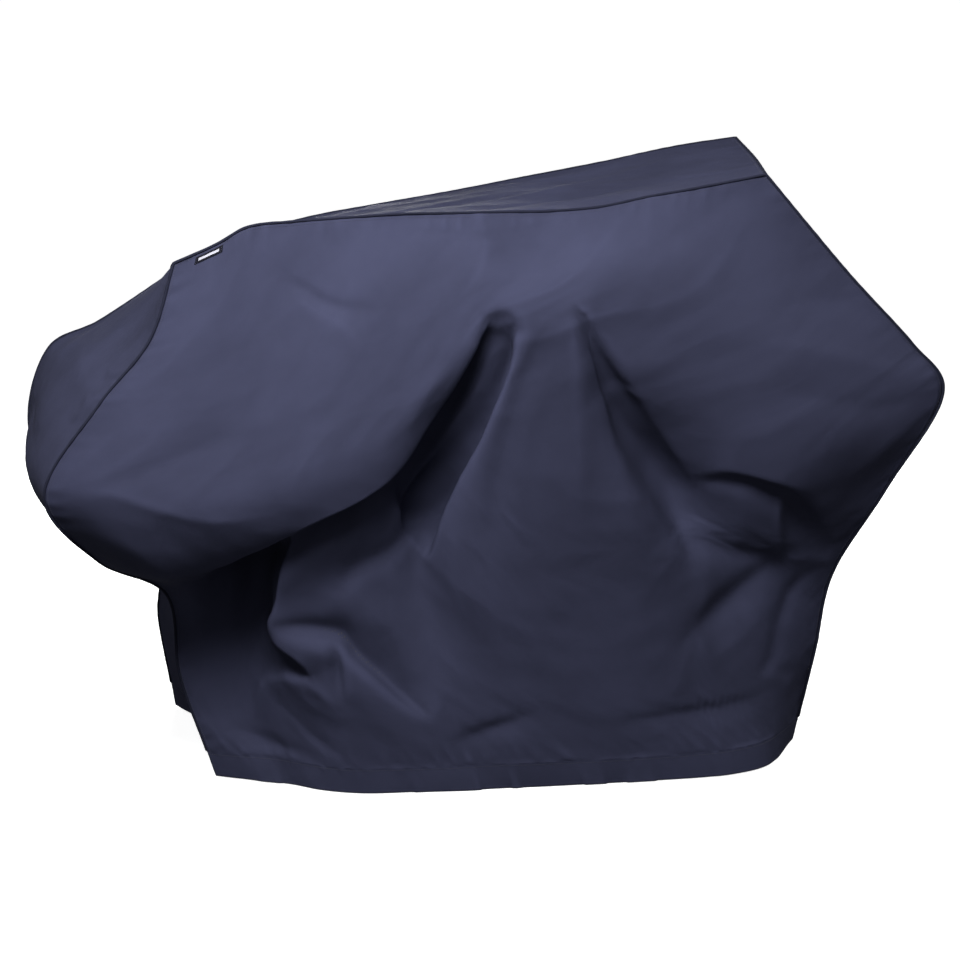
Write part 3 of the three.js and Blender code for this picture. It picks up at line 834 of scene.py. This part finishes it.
def label(front, dark, pale, thread):
    """A blank woven label beside the top left-hand corner: a dark border round a pale middle."""
    low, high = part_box("label")
    middle, half = (low[0] + high[0]) / 2, LABEL_LENGTH / 2
    top_x = front[:, 0, 0]
    places = np.linspace(middle - half, middle + half, LABEL_COLUMNS + 1)
    columns = np.interp(places, top_x, np.arange(len(top_x)))
    _, v = cloth_lengths(front)
    depth = np.linspace(LABEL_DROP, LABEL_DROP + LABEL_HEIGHT, LABEL_ROWS + 1)
    first = columns.astype(int)
    share = (columns - first)[:, None, None]

    def sampled(field):
        rows = [np.stack([np.interp(depth, v[i], field[i, :, axis]) for axis in range(3)], axis=1)
                for i in range(first[0], first[-1] + 2)]
        rows = np.array(rows)
        return rows[first - first[0]] * (1 - share) + rows[first - first[0] + 1] * share

    cloth, out = sampled(front), unit(sampled(normals_of(front)))
    piece = shell("label_cloth", cloth + out * LABEL_FACE, cloth + out * LABEL_BACK, dark, dark)
    piece.data.materials.append(pale)
    # the faces of the front, with the two rows that hold the cut edges, come first
    inside = np.zeros((LABEL_COLUMNS, LABEL_ROWS + 2), int)
    inside[3:-3, 4:-4] = 2
    indices = np.empty(len(piece.data.polygons), int)
    piece.data.polygons.foreach_get("material_index", indices)
    indices[:inside.size] = inside.ravel()
    piece.data.polygons.foreach_set("material_index", indices)
    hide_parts("label")
    ends = [(cloth[i] + out[i] * LABEL_FACE, out[i]) for i in (1, -2)]
    stitching("label_stitching", ends, thread)


# ---------------------------------------------------------------- materials

def node(tree, kind, settings=None, **inputs):
    """Adds a shader node. Inputs are values, or sockets to link from."""
    made = tree.nodes.new("ShaderNode" + kind)
    for key, value in (settings or {}).items():
        setattr(made, key, value)
    for key, value in inputs.items():
        name = key.replace("_", " ")
        socket = made.inputs[int(key[1:])] if key[1:].isdigit() else made.inputs[name]
        if isinstance(value, bpy.types.NodeSocket):
            tree.links.new(value, socket)
        else:
            socket.default_value = value
    return made


def mix_colour(tree, factor, a, b, blend="MIX"):
    made = node(tree, "Mix", dict(data_type="RGBA", blend_type=blend), i0=factor, i6=a, i7=b)
    return made.outputs[2]


def weave(tree, thread):
    """The height of a plain weave of threads of that width, and the cloth coordinates."""
    cloth = node(tree, "UVMap", dict(uv_map="cloth_metres")).outputs[0]
    bands = [
        node(tree, "TexWave", dict(bands_direction=way), Vector=cloth, Scale=math.pi / 10 / thread,
             Distortion=0.4, Detail=1.0, Detail_Scale=0.6).outputs["Fac"]
        for way in ("X", "Y")
    ]
    over = node(tree, "TexChecker", Vector=cloth, Scale=1 / thread).outputs["Fac"]
    height = node(tree, "Mix", dict(data_type="FLOAT"), i0=over, i2=bands[0], i3=bands[1]).outputs[0]
    return height, cloth


def woven_material(name, colour, thread=0.0011, highlight_and_wear_gain=1.35, roughness=0.82):
    """Dyed woven polyester: mottled dye, ridges painted paler as a painted highlight that is partly wear,
    threads, and creases finer than the mesh.
    """
    material = bpy.data.materials.new(name)
    material.use_nodes = True
    tree = material.node_tree
    shader = tree.nodes["Principled BSDF"]
    height, cloth = weave(tree, thread)
    highlight_and_wear_colour = tuple(min(1, c * highlight_and_wear_gain) for c in colour)
    deep = tuple(c * 0.86 for c in colour)
    mottle = node(tree, "TexNoise", Vector=cloth, Scale=4.0, Detail=5.0, Roughness=0.6).outputs["Fac"]
    spread = node(tree, "MapRange", Value=mottle, From_Min=0.35, From_Max=0.65).outputs[0]
    dyed = mix_colour(tree, spread, (*deep, 1), (*(c * 1.12 for c in colour), 1))
    # the ridges of the folds are painted paler: a painted highlight where they catch the light, partly wear
    # on the sharpest bends
    crest = node(tree, "Attribute", dict(attribute_name="crest")).outputs["Fac"]
    highlight_and_wear_share = node(tree, "MapRange", Value=crest, From_Min=0.05, From_Max=0.8, To_Max=0.7).outputs[0]
    ridged = mix_colour(tree, highlight_and_wear_share, dyed, (*highlight_and_wear_colour, 1))
    thread_tone = node(tree, "MapRange", Value=height, To_Min=0.86, To_Max=1.12).outputs[0]
    toned = mix_colour(tree, 1.0, ridged, thread_tone, "MULTIPLY")
    tree.links.new(toned, shader.inputs["Base Color"])
    fine = node(tree, "TexNoise", Vector=cloth, Scale=55.0, Detail=4.0, Roughness=0.55).outputs["Fac"]
    rubbed = node(tree, "MapRange", Value=fine, From_Min=0.3, From_Max=0.7,
                  To_Min=roughness - 0.06, To_Max=roughness + 0.06).outputs[0]
    tree.links.new(rubbed, shader.inputs["Roughness"])
    creases = node(tree, "Bump", Strength=0.35, Distance=0.001, Height=fine).outputs[0]
    threads = node(tree, "Bump", Strength=0.5, Distance=0.00025, Height=height, Normal=creases).outputs[0]
    tree.links.new(threads, shader.inputs["Normal"])
    shader.inputs["Specular IOR Level"].default_value = 0.06
    return material


def coated_material(name, colour):
    """The waterproof coating on the inside of the cloth."""
    material = woven_material(name, colour, highlight_and_wear_gain=1.1, roughness=0.5)
    material.node_tree.nodes["Principled BSDF"].inputs["Specular IOR Level"].default_value = 0.4
    return material


def thread_material(name, colour):
    material = bpy.data.materials.new(name)
    material.use_nodes = True
    tree = material.node_tree
    shader = tree.nodes["Principled BSDF"]
    place = node(tree, "TexCoord").outputs["Object"]
    plies = node(tree, "TexWave", dict(bands_direction="DIAGONAL"), Vector=place, Scale=500.0).outputs["Fac"]
    tone = node(tree, "MapRange", Value=plies, To_Min=0.7, To_Max=1.3).outputs[0]
    tree.links.new(mix_colour(tree, 1.0, (*colour, 1), tone, "MULTIPLY"), shader.inputs["Base Color"])
    tree.links.new(node(tree, "Bump", Strength=0.4, Distance=0.0001, Height=plies).outputs[0],
                   shader.inputs["Normal"])
    shader.inputs["Roughness"].default_value = 0.6
    return material


# ---------------------------------------------------------------- stage

CAMERA_PLACE = (-0.3947 * WIDTH, -2.471 * WIDTH, 1.3525 * HEIGHT)
CAMERA_AIM = (0.0117 * WIDTH, 0.0046 * WIDTH, 0.4608 * HEIGHT)
CAMERA_LENS = 84.7
WORLD_STRENGTH = 0.165
FLOOR_GLOW = 0.86


def build_stage():
    bpy.context.scene.view_settings.view_transform = "Standard"
    world = bpy.data.worlds.new("studio")
    world.use_nodes = True
    background = world.node_tree.nodes["Background"]
    background.inputs["Color"].default_value = (1, 1, 1, 1)
    background.inputs["Strength"].default_value = WORLD_STRENGTH
    bpy.context.scene.world = world
    paint = bpy.data.materials.new("floor_paint")
    paint.use_nodes = True
    shader = paint.node_tree.nodes["Principled BSDF"]
    shader.inputs["Base Color"].default_value = (0.8, 0.8, 0.8, 1)
    shader.inputs["Roughness"].default_value = 0.9
    shader.inputs["Emission Color"].default_value = (1, 1, 1, 1)
    shader.inputs["Emission Strength"].default_value = FLOOR_GLOW
    floor = revolved("floor", [(0, 0), (6, 0), (8, 0.3), (9.5, 1.4), (10, 6)])
    floor.data.materials.append(paint)
    floor.visible_diffuse = floor.visible_glossy = floor.visible_shadow = False
    floor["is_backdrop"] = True


def revolved(name, profile, sides=96):
    """A surface turned about the Z axis; the profile is (radius, height) in cover widths."""
    rings = spline(np.array(profile) * WIDTH, 8 * (len(profile) - 1))
    turn = np.linspace(0, 2 * math.pi, sides + 1)
    radius, height = rings[:, 0], rings[:, 1]
    x, y = np.outer(np.cos(turn), radius), np.outer(np.sin(turn), radius)
    points = np.stack([x, y, np.broadcast_to(height, x.shape)], axis=-1)
    faces = grid_faces(np.arange(x.size).reshape(x.shape))
    mesh = bpy.data.meshes.new(name)
    mesh.from_pydata(points.reshape(-1, 3).tolist(), [], faces.tolist())
    made = bpy.data.objects.new(name, mesh)
    bpy.context.scene.collection.objects.link(made)
    return made


def build_camera():
    camera = bpy.data.objects.new("camera", bpy.data.cameras.new("camera"))
    bpy.context.scene.collection.objects.link(camera)
    camera.location = CAMERA_PLACE
    camera.rotation_mode = "QUATERNION"
    camera.rotation_quaternion = (Vector(CAMERA_AIM) - camera.location).to_track_quat("-Z", "Y")
    camera.data.lens = CAMERA_LENS
    camera.data.sensor_width = 36
    bpy.context.scene.camera = camera


def area_light(name, place, size, power):
    """A soft box at a place in cover widths, aimed at the middle of the cover."""
    data = bpy.data.lights.new(name, "AREA")
    data.shape = "RECTANGLE"
    data.size, data.size_y = size
    data.energy = power
    light = bpy.data.objects.new(name, data)
    light.location = Vector(place) * WIDTH
    light.rotation_mode = "QUATERNION"
    light.rotation_quaternion = (Vector((0, 0, HEIGHT / 2)) - light.location).to_track_quat("-Z", "Y")
    bpy.context.scene.collection.objects.link(light)


def build_lights():
    area_light("key", (-0.4, -1.0, 1.5), (1.5, 0.6), 151)
    area_light("left", (-1.5, 0.6, 1.1), (1.0, 1.0), 10)
    area_light("right", (1.6, 0.1, 1.1), (1.0, 1.0), 26)
    area_light("rear", (0.2, 1.8, 0.6), (1.6, 0.5), 95)


build_camera()
build_stage()
build_lights()
grids = build_grids()
cover_cloth = woven_material("cover_cloth", (0.027, 0.029, 0.054))
lining = coated_material("coated_inside", (0.02, 0.021, 0.026))
hem_cloth = woven_material("hem_cloth", (0.026, 0.028, 0.052))
piping = woven_material("seam_piping", (0.012, 0.013, 0.024), thread=0.0007)
thread = thread_material("sewing_thread", (0.03, 0.032, 0.05))
label_dark = woven_material("label_border", (0.006, 0.006, 0.01), thread=0.0004)
label_pale = woven_material("label_middle", (0.34, 0.34, 0.38), thread=0.0004, highlight_and_wear_gain=1.1)

cloths = {}
hem_faces = []
for name, grid in grids.items():
    if name.endswith("hem"):
        cloths[name], face = hem(name, grid, hem_cloth, lining)
        hem_faces.append(face)
    else:
        cloths[name] = panel(name, grid, cover_cloth, lining)

front, back, top = grids["front_panel"], grids["back_panel"], grids["top_gusset"]
welt("front_welt_piping", np.concatenate([front[0, ::-1], front[1:-1, 0], front[-1]]), piping, "front_welt")
welt("back_welt_piping", np.concatenate([back[0, ::-1], back[1:-1, 0], back[-1]]), piping, "back_welt")
welt("left_cross_seam_piping", top[0], piping, "left_cross_seam")
welt("right_cross_seam_piping", top[-1], piping, "right_cross_seam")

for side, grid in (("front", front), ("back", back)):
    rows = [inset_line(grid, border, STITCH_INSET) for border in "ltr"]
    stitching(side + "_seam_stitching", rows, thread)
stitching("cross_seam_stitching", [inset_line(top, border, STITCH_INSET) for border in "lr"], thread)
rows = [inset_line(face, "t", HEM_STITCH_DROP) for face in hem_faces]
stitching("hem_stitching", rows, thread)
label(front, label_dark, label_pale, thread)

for name, piece in cloths.items():
    u, v = cloth_lengths(grids[name])
